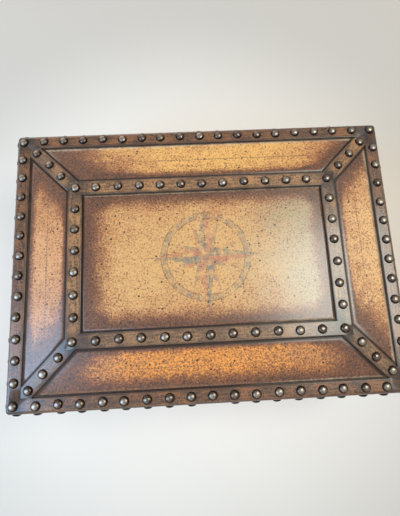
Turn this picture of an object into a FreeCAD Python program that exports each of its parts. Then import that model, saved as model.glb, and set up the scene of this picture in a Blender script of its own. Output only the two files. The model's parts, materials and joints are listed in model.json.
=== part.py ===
import FreeCAD, Part
import math
import os

# A strapped and nailed treasure box with a low hipped lid.
# The origin is on the ground under the middle of the box, +Z is up and the front faces -Y.

SIZES = {
    # Outside of the straps, left to right and front to back
    "box_length": 400,
    "box_depth": 290,
    # Straps lie on the wood, and a narrow groove parts them from the raised field of each panel
    "strap_width": 15,
    "strap_thickness": 2,
    "edge_radius": 4,
    "groove_width": 1,
    "field_height": 1,
    "field_easing": 0.6,
    # Box
    "foot_width": 10,
    "foot_height": 3,
    "foot_inset": 10,
    "wall_height": 130,
    "wall_thickness": 14,
    "bottom_thickness": 6,
    "bottom_lift": 8,
    "housing_depth": 5,
    "lining_thickness": 1.5,
    "lining_margin": 0.5,
    # Lid
    "seam_gap": 0.3,
    "lid_rim_height": 24,
    "panel_thickness": 8,
    "rebate_width": 5,
    "lap_depth": 4,
    "lid_rise": 7.5,
    "slope_run": 43.5,
    # Domed nails, in rows along the middle of each strap
    "nail_radius": 4.75,
    "nail_height": 2.8,
    "nail_shoulder_share": 0.76,
    "nail_shoulder_height_share": 0.66,
    "nail_pitch": 21.5,
    "inner_nail_pitch": 22.7,
    # Hinges along the back, in a V that the bevelled edges leave at the seam
    "hinge_offset": 110,
    "hinge_length": 45,
    "hinge_inset": 7,
    "bevel_degrees": 50,
    "bevel_margin": 0.7,
    "knuckle_radius": 3,
    "knuckle_gap": 0.3,
    "pocket_clearance": 0.4,
    "leaf_margin": 0.5,
    "leaf_thickness": 1.2,
    "pin_radius": 1.2,
    "pin_clearance": 0.05,
    "screw_radius": 1,
    "screw_head_radius": 1.9,
    "screw_length": 6,
    "screw_point_length": 2,
    "screw_margin": 8.5,
}

TOP_NAIL_SIDES = 8
FACE_NAIL_SIDES = 6
SCREW_SIDES = 8
KNUCKLES = 3
SIDE_TURN_DEGREES = {"front": 0, "right": 90, "back": 180, "left": 270}
CORNER_TURN_DEGREES = {"front_left": 0, "front_right": 90, "back_right": 180, "back_left": 270}
HINGE_SIGN = {"left": -1, "right": 1}
RIGHT_ANGLE = 90
X_AXIS = FreeCAD.Vector(1, 0, 0)
Y_AXIS = FreeCAD.Vector(0, 1, 0)
Z_AXIS = FreeCAD.Vector(0, 0, 1)
SAME_POINT = 1e-4

# Levels and insets, as formulas on the sheet
BEVEL_DEPTH = "(dim.hinge_inset * tan(dim.bevel_degrees * 1 deg))"
SEAM_MARGIN = f"({BEVEL_DEPTH} + dim.bevel_margin)"
WALL_FOOT = "(dim.foot_height + dim.strap_thickness)"
WALL_TOP = f"({WALL_FOOT} + dim.wall_height)"
RIM_STRAP_TOP = f"({WALL_TOP} - {SEAM_MARGIN})"
RIM_STRAP_FOOT = f"({RIM_STRAP_TOP} - dim.strap_width)"
BASE_STRAP_TOP = f"({WALL_FOOT} + dim.strap_width)"
BOARD_FOOT = f"({WALL_FOOT} + dim.bottom_lift)"
BOARD_TOP = f"({BOARD_FOOT} + dim.bottom_thickness)"
LINING_TOP = f"({BOARD_TOP} + dim.lining_thickness)"
LID_FOOT = f"({WALL_TOP} + dim.seam_gap)"
LEDGE = f"({LID_FOOT} + dim.lid_rim_height)"
LID_STRAP_FOOT = f"({LID_FOOT} + {SEAM_MARGIN})"
STRAP_TOP = f"({LEDGE} + dim.strap_thickness)"
CROWN = f"({LEDGE} + dim.lid_rise)"
LAP = f"({CROWN} - dim.lap_depth)"
SKY = f"({CROWN} + dim.lid_rim_height)"
AXIS_LEVEL = f"({WALL_TOP} + dim.seam_gap / 2)"
AXIS_Y = "(dim.box_depth / 2 - dim.hinge_inset)"

ROUNDING = "dim.edge_radius"
WOOD = "dim.strap_thickness"
WOOD_CHAMFER = "(dim.edge_radius - dim.strap_thickness)"
NAIL_INSET = "(dim.strap_width / 2)"
INSIDE = "(dim.strap_thickness + dim.wall_thickness)"
REBATE = f"({INSIDE} - dim.rebate_width)"
HOUSING = f"({INSIDE} - dim.housing_depth)"
SLOPE_FOOT = "dim.strap_width"
SLOPE_HEAD = "(dim.strap_width + dim.slope_run)"
LAP_EDGE = f"({SLOPE_HEAD} + dim.rebate_width)"
CROWN_STRAP_END = f"({SLOPE_HEAD} + dim.strap_width)"
CROWN_FIELD = f"({CROWN_STRAP_END} + dim.groove_width)"
MITRE_REACH = f"({CROWN_FIELD} + dim.strap_width)"
HIP_CLEARANCE = "((dim.strap_width / 2 + dim.groove_width) * sqrt(2))"
SLOPE_RATE = "(dim.lid_rise / dim.slope_run)"

doc = FreeCAD.newDocument("treasure_box")
sheet = doc.addObject("Spreadsheet::Sheet", "dim")
for row, (alias, number) in enumerate(SIZES.items(), 1):
    sheet.set(f"A{row}", alias)
    sheet.set(f"B{row}", str(number))
    sheet.setAlias(f"B{row}", alias)
doc.recompute()

nodes = []


def bind(item, formulas):
    for name, formula in formulas.items():
        item.setExpression(name, formula)


def value(formula):
    """The number that a formula on the sheet gives."""
    return float(sheet.evalExpression(formula.replace("dim.", "")))


def keep(item, label):
    """Make an object one of the pieces that are written out."""
    item.Label = label
    nodes.append(item)
    return item


def combine(kind, name, base, tool):
    item = doc.addObject(f"Part::{kind}", name)
    item.Base = base
    item.Tool = tool
    return item


def fuse(name, items):
    item = doc.addObject("Part::MultiFuse", name)
    item.Shapes = items
    return item


def group(name, items):
    item = doc.addObject("Part::Compound", name)
    item.Links = items
    return item


def span_of(side):
    """A side's own length, and the length across it."""
    if side in ("front", "back"):
        return "dim.box_length", "dim.box_depth"
    return "dim.box_depth", "dim.box_length"


def box_at(name, size, corner):
    """A box from three size formulas and the three formulas of its lowest corner."""
    item = doc.addObject("Part::Box", name)
    bind(item, dict(zip(("Length", "Width", "Height"), size)))
    bind(item, {f"Placement.Base.{axis}": place for axis, place in zip("xyz", corner)})
    return item


def block(name, inset, low, high):
    """A box drawn in from the strap faces by one inset all round, between two levels."""
    size = (f"dim.box_length - 2 * {inset}", f"dim.box_depth - 2 * {inset}", f"{high} - {low}")
    corner = (f"{inset} - dim.box_length / 2", f"{inset} - dim.box_depth / 2", low)
    return box_at(name, size, corner)


def hipped_block(name, low_inset, low, high_inset, high):
    """A block whose four sides lean in from one inset at its foot to another at its head."""
    item = doc.addObject("Part::Wedge", name)
    item.Placement = FreeCAD.Placement(FreeCAD.Vector(), FreeCAD.Rotation(X_AXIS, RIGHT_ANGLE))
    for axis, length in (("X", "dim.box_length"), ("Z", "dim.box_depth")):
        for end, inset in (("", low_inset), ("2", high_inset)):
            half = f"({length} / 2 - {inset})"
            bind(item, {f"{axis}{end}min": f"-{half}", f"{axis}{end}max": half})
    bind(item, {"Ymin": low, "Ymax": high})
    return item


def sector(name, side, hip_clearance="0"):
    """The part of the plan that belongs to one side, between the mitre lines of its two corners."""
    span, across = span_of(side)
    half_foot = f"({span} / 2 - {hip_clearance})"
    half_head = f"({half_foot} - {MITRE_REACH})"
    item = doc.addObject("Part::Wedge", name)
    item.Placement = FreeCAD.Placement(FreeCAD.Vector(), FreeCAD.Rotation(Z_AXIS, SIDE_TURN_DEGREES[side]))
    bind(item, {"Ymin": f"-{across} / 2", "Ymax": f"{MITRE_REACH} - {across} / 2"})
    bind(item, {"Xmin": f"-{half_foot}", "Xmax": half_foot, "X2min": f"-{half_head}", "X2max": half_head})
    bind(item, {"Zmin": "0", "Zmax": SKY, "Z2min": "0", "Z2max": SKY})
    return item


def bevelled_block(name, kind, inset, low, high, size, top_too=False):
    """A block with its upright edges rounded or chamfered, and the edges of its top with them if asked."""
    body = doc.addObject("PartDesign::Body", name)
    core = body.newObject("PartDesign::AdditiveBox", f"{name}_core")
    bind(core, {"Length": f"dim.box_length - 2 * {inset}", "Width": f"dim.box_depth - 2 * {inset}"})
    bind(core, {"Height": f"{high} - {low}"})
    bind(body, {"Placement.Base.x": f"{inset} - dim.box_length / 2"})
    bind(body, {"Placement.Base.y": f"{inset} - dim.box_depth / 2"})
    bind(body, {"Placement.Base.z": low})
    doc.recompute()
    edges = []
    for number, edge in enumerate(core.Shape.Edges, 1):
        foot, head = sorted(vertex.Point.z for vertex in edge.Vertexes)
        if head - foot > SAME_POINT or (top_too and foot > SAME_POINT):
            edges.append(f"Edge{number}")
    feature = body.newObject(f"PartDesign::{kind}", f"{name}_edges")
    feature.Base = (core, edges)
    feature.setExpression("Radius" if kind == "Fillet" else "Size", size)
    body.Tip = feature
    return body


def rod(name, radius, length, start):
    """A cylinder along X from a starting point, given as formulas."""
    item = doc.addObject("Part::Cylinder", name)
    item.Placement = FreeCAD.Placement(FreeCAD.Vector(), FreeCAD.Rotation(Y_AXIS, RIGHT_ANGLE))
    bind(item, {"Radius": radius, "Height": length})
    bind(item, {f"Placement.Base.{axis}": place for axis, place in zip("xyz", start)})
    return item


def turned(rings, point, sides):
    """A small turned solid in flat facets, from rings of radius and level to a point on its axis."""
    step = 2 * math.pi / sides
    corners = []
    for radius, level in rings:
        ring = [(radius * math.cos(step * n), radius * math.sin(step * n)) for n in range(sides)]
        corners.append([FreeCAD.Vector(x, y, level) for x, y in ring])
    outlines = [corners[0]]
    for n in range(sides):
        after = (n + 1) % sides
        for low, high in zip(corners, corners[1:]):
            outlines.append([low[n], low[after], high[after], high[n]])
        outlines.append([corners[-1][n], corners[-1][after], FreeCAD.Vector(0, 0, point)])
    facets = [Part.Face(Part.makePolygon([*outline, outline[0]])) for outline in outlines]
    solid = Part.makeSolid(Part.makeShell(facets))
    if solid.Volume < 0:
        solid.reverse()
    return solid


def on_seats(name, solid, seats):
    """Copies of a solid on seats, each a point and the direction that the solid's axis takes there."""
    copies = []
    for point, facing in seats:
        copy = solid.copy()
        copy.Placement = FreeCAD.Placement(point, FreeCAD.Rotation(Z_AXIS, facing))
        copies.append(copy)
    item = doc.addObject("Part::Feature", name)
    item.Shape = Part.makeCompound(copies)
    item.Placement = FreeCAD.Placement()
    return item


def eased(name, base, on_field):
    """Chamfer the edges whose two ends both lie on the raised field."""
    doc.recompute()
    size = value("dim.field_easing")
    item = doc.addObject("Part::Chamfer", name)
    item.Base = base
    edges = enumerate(base.Shape.Edges, 1)
    item.Edges = [(n, size, size) for n, edge in edges if all(on_field(v.Point) for v in edge.Vertexes)]
    return item


def outward(side, point):
    """How far a point stands out from the middle of the box towards one side."""
    turn = FreeCAD.Rotation(Z_AXIS, -SIDE_TURN_DEGREES[side])
    return -turn.multVec(point).y


sectors = {side: sector(f"sector_{side}", side) for side in SIDE_TURN_DEGREES}
field_sectors = {side: sector(f"field_sector_{side}", side, HIP_CLEARANCE) for side in SIDE_TURN_DEGREES}


def split_by_sides(ring, label):
    """Cut a ring into four mitred pieces."""
    return {side: combine("Common", f"{label}_{side}", ring, sectors[side]) for side in sectors}


# The V along the back in which the hinges sit: its two faces are the bevels that stop the lid
bevel = doc.addObject("Part::Wedge", "back_bevel")
BEVEL_RISE = f"(dim.seam_gap / 2 + {BEVEL_DEPTH})"
bind(bevel, {"Xmin": "-dim.box_length", "Xmax": "dim.box_length"})
bind(bevel, {"X2min": "-dim.box_length", "X2max": "dim.box_length"})
bind(bevel, {"Ymin": AXIS_Y, "Ymax": "dim.box_depth / 2"})
bind(bevel, {"Zmin": f"{AXIS_LEVEL} - dim.seam_gap / 2", "Zmax": f"{AXIS_LEVEL} + dim.seam_gap / 2"})
bind(bevel, {"Z2min": f"{AXIS_LEVEL} - {BEVEL_RISE}", "Z2max": f"{AXIS_LEVEL} + {BEVEL_RISE}"})


# Hinges: two leaves with knuckles in turn on one pin, let into the wood
KNUCKLE_LENGTH = f"((dim.hinge_length - {KNUCKLES - 1} * dim.knuckle_gap) / {KNUCKLES})"
KNUCKLE_STEP = f"({KNUCKLE_LENGTH} + dim.knuckle_gap)"
KNUCKLE_ROOM = "(dim.knuckle_radius + dim.pocket_clearance)"
LEAF_WIDTH = f"({INSIDE} - dim.hinge_inset - dim.leaf_margin)"
LEAF_EDGE = f"({AXIS_Y} - {LEAF_WIDTH})"
SCREW_Y = f"({AXIS_Y} - ({KNUCKLE_ROOM} + {LEAF_WIDTH}) / 2)"
BORE = "(dim.pin_radius + dim.pin_clearance)"


def hinge_start(which):
    return f"({HINGE_SIGN[which]} * dim.hinge_offset - dim.hinge_length / 2)"


def leaf_levels(part):
    """The face of the leaf that shows in the seam, and the level of its underside in the wood."""
    if part == "box":
        return WALL_TOP, f"({WALL_TOP} - dim.leaf_thickness)"
    return LID_FOOT, f"({LID_FOOT} + dim.leaf_thickness)"


def hinge_screws(part):
    """Countersunk screws whose heads lie flush with the leaves and whose points go into the wood."""
    length = value("dim.screw_length")
    shank = value("dim.screw_radius")
    rings = [(value("dim.screw_head_radius"), 0), (shank, value("dim.leaf_thickness")), (shank, length)]
    screw = turned(rings, length + value("dim.screw_point_length"), SCREW_SIDES)
    level = value(leaf_levels(part)[0])
    facing = -Z_AXIS if part == "box" else Z_AXIS
    seats = []
    for hinge in HINGE_SIGN.values():
        for end in HINGE_SIGN.values():
            place = value(f"{hinge} * dim.hinge_offset + {end} * (dim.hinge_length / 2 - dim.screw_margin)")
            seats.append((FreeCAD.Vector(place, value(SCREW_Y), level), facing))
    return keep(on_seats(f"hinge_screws_{part}", screw, seats), f"hinge_screws_{part}")


screws = {part: hinge_screws(part) for part in ("box", "lid")}


def hinge_leaf(which, part, first_knuckle):
    """A flat leaf with every second knuckle of the hinge, bored for the pin and drilled for its screws."""
    name = f"hinge_leaf_{part}_{which}"
    face, under = leaf_levels(part)
    low = under if part == "box" else face
    start = hinge_start(which)
    plate_size = ("dim.hinge_length", f"{LEAF_WIDTH} - {KNUCKLE_ROOM}", "dim.leaf_thickness")
    solids = [box_at(f"{name}_plate", plate_size, (start, LEAF_EDGE, low))]
    for number in range(first_knuckle, KNUCKLES, 2):
        left = f"{start} + {number} * {KNUCKLE_STEP}"
        web_size = (KNUCKLE_LENGTH, KNUCKLE_ROOM, "dim.leaf_thickness")
        solids.append(box_at(f"{name}_web_{number}", web_size, (left, f"{AXIS_Y} - {KNUCKLE_ROOM}", low)))
        place = (left, AXIS_Y, AXIS_LEVEL)
        solids.append(rod(f"{name}_knuckle_{number}", "dim.knuckle_radius", KNUCKLE_LENGTH, place))
    bore = rod(f"{name}_bore", BORE, "dim.hinge_length", (start, AXIS_Y, AXIS_LEVEL))
    leaf = combine("Cut", f"{name}_bored", fuse(f"{name}_solid", solids), bore)
    return keep(combine("Cut", name, leaf, screws[part]), name)


def hinge_pin(which):
    name = f"hinge_pin_{which}"
    place = (hinge_start(which), AXIS_Y, AXIS_LEVEL)
    return keep(rod(name, "dim.pin_radius", "dim.hinge_length", place), name)


def with_hinge_room(part, board):
    """Cut the barrel pockets, the leaf seats and the screw holes into a board at the back."""
    face, under = leaf_levels(part)
    low = under if part == "box" else f"({face} - dim.seam_gap)"
    tools = []
    pocket_width = f"2 * {KNUCKLE_ROOM}"
    pocket_size = ("dim.hinge_length + 2 * dim.pocket_clearance", pocket_width, pocket_width)
    seat_size = ("dim.hinge_length", LEAF_WIDTH, "dim.leaf_thickness + dim.seam_gap")
    for which in HINGE_SIGN:
        name = f"{part}_{which}"
        start = hinge_start(which)
        left = f"{start} - dim.pocket_clearance"
        corner = (left, f"{AXIS_Y} - {KNUCKLE_ROOM}", f"{AXIS_LEVEL} - {KNUCKLE_ROOM}")
        tools.append(box_at(f"barrel_pocket_{name}", pocket_size, corner))
        tools.append(box_at(f"leaf_seat_{name}", seat_size, (start, LEAF_EDGE, low)))
    seated = combine("Cut", f"hinge_seat_{part}", board, fuse(f"hinge_room_{part}", tools))
    return combine("Cut", f"hinged_board_{part}", seated, screws[part])


for which in HINGE_SIGN:
    hinge_leaf(which, "box", 0)
    hinge_leaf(which, "lid", 1)
    hinge_pin(which)


# Box: four mitred walls, the bottom board in their groove, and a lined floor
def wall_field(side):
    """The raised field on the outside of one wall, framed by the straps."""
    span, across = span_of(side)
    low = f"({BASE_STRAP_TOP} + dim.groove_width)"
    high = f"({RIM_STRAP_FOOT} - dim.groove_width)"
    margin = "(dim.strap_width + dim.groove_width)"
    item = doc.addObject("Part::Wedge", f"wall_field_{side}")
    item.Placement = FreeCAD.Placement(FreeCAD.Vector(), FreeCAD.Rotation(Z_AXIS, SIDE_TURN_DEGREES[side]))
    face = f"({WOOD} - dim.field_height)"
    bind(item, {"Ymin": f"{face} - {across} / 2", "Ymax": f"{WOOD} - {across} / 2"})
    for end, easing in (("", "dim.field_easing"), ("2", "0")):
        half = f"({span} / 2 - {margin} - {easing})"
        bind(item, {f"X{end}min": f"-{half}", f"X{end}max": half})
        bind(item, {f"Z{end}min": f"{low} + {easing}", f"Z{end}max": f"{high} - {easing}"})
    return item


box_wood = bevelled_block("box_wood", "Chamfer", WOOD, WALL_FOOT, WALL_TOP, WOOD_CHAMFER)
hollow = block("hollow", INSIDE, WALL_FOOT, WALL_TOP)
housing = block("housing", HOUSING, BOARD_FOOT, BOARD_TOP)
wall_ring = combine("Cut", "wall_ring", box_wood, fuse("wall_hollows", [hollow, housing, bevel]))
for side, plain_wall in split_by_sides(wall_ring, "plain_wall").items():
    wall = fuse(f"fielded_wall_{side}", [plain_wall, wall_field(side)])
    if side == "back":
        wall = with_hinge_room("box", wall)
    keep(wall, f"wall_{side}")

keep(block("bottom_board", HOUSING, BOARD_FOOT, BOARD_TOP), "bottom_board")
LINING_EDGE = f"({INSIDE} + dim.lining_margin)"
keep(block("floor_lining", LINING_EDGE, BOARD_TOP, LINING_TOP), "floor_lining")

# Box straps: one skin over the wood, cut into base, corner and rim straps
box_outside = bevelled_block("box_outside", "Fillet", "0", "dim.foot_height", RIM_STRAP_TOP, ROUNDING)
box_skin = combine("Cut", "box_skin", box_outside, fuse("box_fill", [box_wood, hollow]))

under_window = block("under_window", "dim.strap_width", "dim.foot_height", WALL_FOOT)
base_zone = block("base_zone", "0", "dim.foot_height", BASE_STRAP_TOP)
base_band = combine("Common", "base_band", box_skin, base_zone)
base_ring = combine("Cut", "base_ring", base_band, under_window)
for side, strap in split_by_sides(base_ring, "base_strap").items():
    keep(strap, f"base_strap_{side}")

rim_ring = combine("Common", "rim_ring", box_skin, block("rim_zone", "0", RIM_STRAP_FOOT, RIM_STRAP_TOP))
for side, strap in split_by_sides(rim_ring, "rim_strap").items():
    keep(strap, f"rim_strap_{side}")

for corner in CORNER_TURN_DEGREES:
    name = f"corner_strap_{corner}"
    left = "-dim.box_length / 2" if "left" in corner else "dim.box_length / 2 - dim.strap_width"
    front = "-dim.box_depth / 2" if "front" in corner else "dim.box_depth / 2 - dim.strap_width"
    zone_size = ("dim.strap_width", "dim.strap_width", f"{RIM_STRAP_FOOT} - {BASE_STRAP_TOP}")
    zone = box_at(f"{name}_zone", zone_size, (left, front, BASE_STRAP_TOP))
    keep(combine("Common", f"{name}_piece", box_skin, zone), name)

feet = []
for corner in CORNER_TURN_DEGREES:
    along = -1 if "left" in corner else 1
    across = -1 if "front" in corner else 1
    left = f"{along} * (dim.box_length / 2 - dim.foot_inset) - dim.foot_width / 2"
    front = f"{across} * (dim.box_depth / 2 - dim.foot_inset) - dim.foot_width / 2"
    foot_size = ("dim.foot_width", "dim.foot_width", "dim.foot_height")
    feet.append(box_at(f"foot_{corner}", foot_size, (left, front, "0")))
keep(group("rubber_feet", feet), "rubber_feet")


# Lid: mitred rim rails, rebated for the sloping panels, which carry the lapped central panel
lid_wood = bevelled_block("lid_wood", "Chamfer", WOOD, LID_FOOT, LEDGE, WOOD_CHAMFER, top_too=True)
SEAT = f"({LEDGE} - dim.panel_thickness)"
lid_hollow = block("lid_hollow", INSIDE, LID_FOOT, LEDGE)
panel_rebate = block("panel_rebate", REBATE, SEAT, LEDGE)
lid_hollows = fuse("lid_hollows", [lid_hollow, panel_rebate, bevel])
rail_ring = combine("Cut", "rail_ring", lid_wood, lid_hollows)
for side, rail in split_by_sides(rail_ring, "plain_rail").items():
    if side == "back":
        rail = with_hinge_room("lid", rail)
    keep(rail, f"lid_rail_{side}")

slope_top = hipped_block("slope_top", SLOPE_FOOT, LEDGE, SLOPE_HEAD, CROWN)
slope_block = fuse("slope_block", [block("slope_border", REBATE, SEAT, LEDGE), slope_top])
LAP_UNDER = f"({SEAT} + {SLOPE_RATE} * (dim.slope_run + dim.rebate_width))"
slope_under = hipped_block("slope_under", SLOPE_FOOT, SEAT, LAP_EDGE, LAP_UNDER)
crown_opening = block("crown_opening", LAP_EDGE, SEAT, CROWN)
crown_rebate = block("crown_rebate", SLOPE_HEAD, LAP, CROWN)
slope_hollows = fuse("slope_hollows", [slope_under, crown_opening, crown_rebate])
slope_ring = combine("Cut", "slope_ring", slope_block, slope_hollows)


def raised_slope(name, height, foot, head):
    """A layer of one height on the slopes, between an inset at its foot and one at its head."""
    lift = f"({LEDGE} + {height})"
    foot_level = f"({lift} + {SLOPE_RATE} * ({foot} - {SLOPE_FOOT}))"
    head_level = f"({lift} + {SLOPE_RATE} * ({head} - {SLOPE_FOOT}))"
    leaning = hipped_block(f"{name}_leaning", foot, foot_level, head, head_level)
    layer = fuse(f"{name}_block", [block(f"{name}_base", foot, LEDGE, foot_level), leaning])
    middle = block(f"{name}_middle", head, LEDGE, head_level)
    return combine("Cut", name, combine("Cut", f"{name}_layer", layer, slope_top), middle)


FIELD_FOOT = f"({SLOPE_FOOT} + dim.groove_width)"
FIELD_HEAD = f"({SLOPE_HEAD} - dim.groove_width)"
slope_fields = raised_slope("slope_fields", "dim.field_height", FIELD_FOOT, FIELD_HEAD)
for side, plain_slope in split_by_sides(slope_ring, "plain_slope").items():
    field = combine("Common", f"slope_field_{side}", slope_fields, field_sectors[side])
    slope = fuse(f"fielded_slope_{side}", [plain_slope, field])
    half_across = value(f"{span_of(side)[1]} / 2")

    def on_slope_field(point, side=side, half_across=half_across):
        inset = half_across - outward(side, point)
        level = value(LEDGE) + value(SLOPE_RATE) * (inset - value(SLOPE_FOOT)) + value("dim.field_height")
        return abs(point.z - level) < SAME_POINT

    keep(eased(f"eased_slope_{side}", slope, on_slope_field), f"lid_slope_{side}")

CROWN_FIELD_TOP = f"({CROWN} + dim.field_height)"
crown_solids = [
    block("crown_lap", SLOPE_HEAD, LAP, CROWN),
    block("crown_under", LAP_EDGE, f"({CROWN} - dim.panel_thickness)", LAP),
    hipped_block("crown_field", CROWN_FIELD, CROWN, f"({CROWN_FIELD} + dim.field_easing)", CROWN_FIELD_TOP),
]
keep(fuse("crown_panel", crown_solids), "lid_centre_panel")

# Lid straps: bent over the edge, along the hips and round the central panel
lid_outside = bevelled_block("lid_outside", "Fillet", "0", LID_STRAP_FOOT, STRAP_TOP, ROUNDING, top_too=True)
lid_fill = fuse("lid_fill", [lid_wood, block("lid_window", "dim.strap_width", LID_FOOT, STRAP_TOP)])
edge_ring = combine("Cut", "edge_ring", lid_outside, lid_fill)
for side, strap in split_by_sides(edge_ring, "edge_strap").items():
    keep(strap, f"lid_edge_strap_{side}")

hip_layer = raised_slope("hip_layer", "dim.strap_thickness", SLOPE_FOOT, SLOPE_HEAD)
for corner, turn in CORNER_TURN_DEGREES.items():
    strip = doc.addObject("Part::Box", f"hip_strip_{corner}")
    along = "-dim.box_length / 2" if "left" in corner else "dim.box_length / 2"
    across = "-dim.box_depth / 2" if "front" in corner else "dim.box_depth / 2"
    bind(strip, {"Length": f"{MITRE_REACH} * sqrt(2)", "Width": "dim.strap_width", "Height": SKY})
    facing = FreeCAD.Rotation(Z_AXIS, turn + RIGHT_ANGLE / 2)
    strip.Placement = FreeCAD.Placement(FreeCAD.Vector(), facing)
    side_step = facing.multVec(Y_AXIS)
    bind(strip, {"Placement.Base.x": f"{along} - {side_step.x} * dim.strap_width / 2"})
    bind(strip, {"Placement.Base.y": f"{across} - {side_step.y} * dim.strap_width / 2"})
    keep(combine("Common", f"hip_strap_{corner}_piece", hip_layer, strip), f"hip_strap_{corner}")

CROWN_STRAP_TOP = f"({CROWN} + dim.strap_thickness)"
crown_band = block("crown_band", SLOPE_HEAD, CROWN, CROWN_STRAP_TOP)
crown_window = block("crown_window", CROWN_STRAP_END, CROWN, CROWN_STRAP_TOP)
crown_ring = combine("Cut", "crown_ring", crown_band, crown_window)
for side, strap in split_by_sides(crown_ring, "crown_strap").items():
    keep(strap, f"inner_strap_{side}")


# Nails: domed heads in rows
def nail_head(sides):
    radius = value("dim.nail_radius")
    height = value("dim.nail_height")
    shoulder = (radius * value("dim.nail_shoulder_share"), height * value("dim.nail_shoulder_height_share"))
    return turned([(radius, 0), shoulder], height, sides)


def nail_group(label, seats, sides):
    keep(on_seats(label, nail_head(sides), seats), label)


def spread(span, pitch):
    """Places along a row, evenly spaced from end to end at about the given pitch."""
    gaps = max(1, round(span / pitch))
    return [span * n / gaps - span / 2 for n in range(gaps + 1)]


def frame_seats(inset, level, pitch):
    """Seats round a flat frame, with one nail on each corner."""
    half_length = value("dim.box_length / 2") - inset
    half_depth = value("dim.box_depth / 2") - inset
    points = []
    for y in (-half_depth, half_depth):
        points += [(x, y) for x in spread(2 * half_length, pitch)]
    for x in (-half_length, half_length):
        points += [(x, y) for y in spread(2 * half_depth, pitch)[1:-1]]
    return [(FreeCAD.Vector(x, y, level), Z_AXIS) for x, y in points]


def face_seat(side, along, level):
    """A seat on the strap face of one side, at a place along it."""
    turn = FreeCAD.Rotation(Z_AXIS, SIDE_TURN_DEGREES[side])
    half_across = value(f"{span_of(side)[1]} / 2")
    return turn.multVec(FreeCAD.Vector(along, -half_across, level)), turn.multVec(-Y_AXIS)


def row_on(side, level):
    span = value(f"{span_of(side)[0]} - 2 * {NAIL_INSET}")
    return [face_seat(side, along, level) for along in spread(span, value("dim.nail_pitch"))]


def hip_seats():
    """Seats along the hips, between the corner nails of the outer and the inner frame."""
    outer = value(NAIL_INSET)
    inner = value(f"{SLOPE_HEAD} + {NAIL_INSET}")
    gaps = round((inner - outer) * math.sqrt(2) / value("dim.nail_pitch"))
    seats = []
    for corner in CORNER_TURN_DEGREES:
        along = 1 if "left" in corner else -1
        across = 1 if "front" in corner else -1
        for n in range(1, gaps):
            inset = outer + (inner - outer) * n / gaps
            level = value(STRAP_TOP) + value(SLOPE_RATE) * (inset - value(SLOPE_FOOT))
            x = along * (inset - value("dim.box_length / 2"))
            y = across * (inset - value("dim.box_depth / 2"))
            lean = value(SLOPE_RATE) / 2
            facing = FreeCAD.Vector(-along * lean, -across * lean, 1)
            seats.append((FreeCAD.Vector(x, y, level), facing))
    return seats


nail_pitch = value("dim.nail_pitch")
edge_seats = frame_seats(value(NAIL_INSET), value(STRAP_TOP), nail_pitch)
nail_group("lid_edge_nails", edge_seats, TOP_NAIL_SIDES)
crown_row = value(f"{SLOPE_HEAD} + {NAIL_INSET}")
crown_seats = frame_seats(crown_row, value(CROWN_STRAP_TOP), value("dim.inner_nail_pitch"))
nail_group("inner_strap_nails", crown_seats, TOP_NAIL_SIDES)
nail_group("hip_nails", hip_seats(), TOP_NAIL_SIDES)

lid_row = value(f"({LID_STRAP_FOOT} + {LEDGE}) / 2")
base_row = value(f"{BASE_STRAP_TOP} - {NAIL_INSET}")
rim_row = value(f"{RIM_STRAP_FOOT} + {NAIL_INSET}")
lid_side_seats = [seat for side in sectors for seat in row_on(side, lid_row)]
# The middle of the lid's front carries no nail
front_middle, _ = face_seat("front", 0, lid_row)
lid_side_seats = [seat for seat in lid_side_seats if seat[0].distanceToPoint(front_middle) > nail_pitch / 2]
nail_group("lid_side_nails", lid_side_seats, FACE_NAIL_SIDES)
nail_group("base_nails", [seat for side in sectors for seat in row_on(side, base_row)], FACE_NAIL_SIDES)
nail_group("rim_nails", [seat for side in sectors for seat in row_on(side, rim_row)], FACE_NAIL_SIDES)

corner_seats = []
upright = [level + (base_row + rim_row) / 2 for level in spread(rim_row - base_row, nail_pitch)[1:-1]]
for side in sectors:
    end = value(f"{span_of(side)[0]} / 2 - {NAIL_INSET}")
    corner_seats += [face_seat(side, along, level) for along in (-end, end) for level in upright]
nail_group("corner_nails", corner_seats, FACE_NAIL_SIDES)


# Check the document, then write one file for each piece
doc.recompute()
failed = [item.Name for item in doc.Objects if {"Invalid", "Error"} & set(item.State)]
if failed:
    raise RuntimeError(f"these did not build: {failed}")
for item in nodes:
    if item.Shape.isNull() or not item.Shape.isValid() or not item.Shape.Solids:
        raise RuntimeError(f"{item.Label} has no valid solid")

os.makedirs("parts", exist_ok=True)
for item in nodes:
    item.Shape.exportStep(f"parts/{item.Label}.step")
print(f"{len(nodes)} pieces, {sum(len(item.Shape.Solids) for item in nodes)} solids")
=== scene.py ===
# %% [markdown]
# # A treasure box with a low hipped lid
# The real box is made of boards, bound with dark leather straps that rows of domed nails hold down. The
# engineered model already has every board, strap and nail at its real size, so this notebook loads it as a
# fixed frame. What is left is the look: softened edges, smooth nail heads, worn paint, leather and metal.

# %% Load the frame
import json
import math
import random
from functools import partial

import bmesh
import bpy
from mathutils import Matrix, Vector, noise

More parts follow.
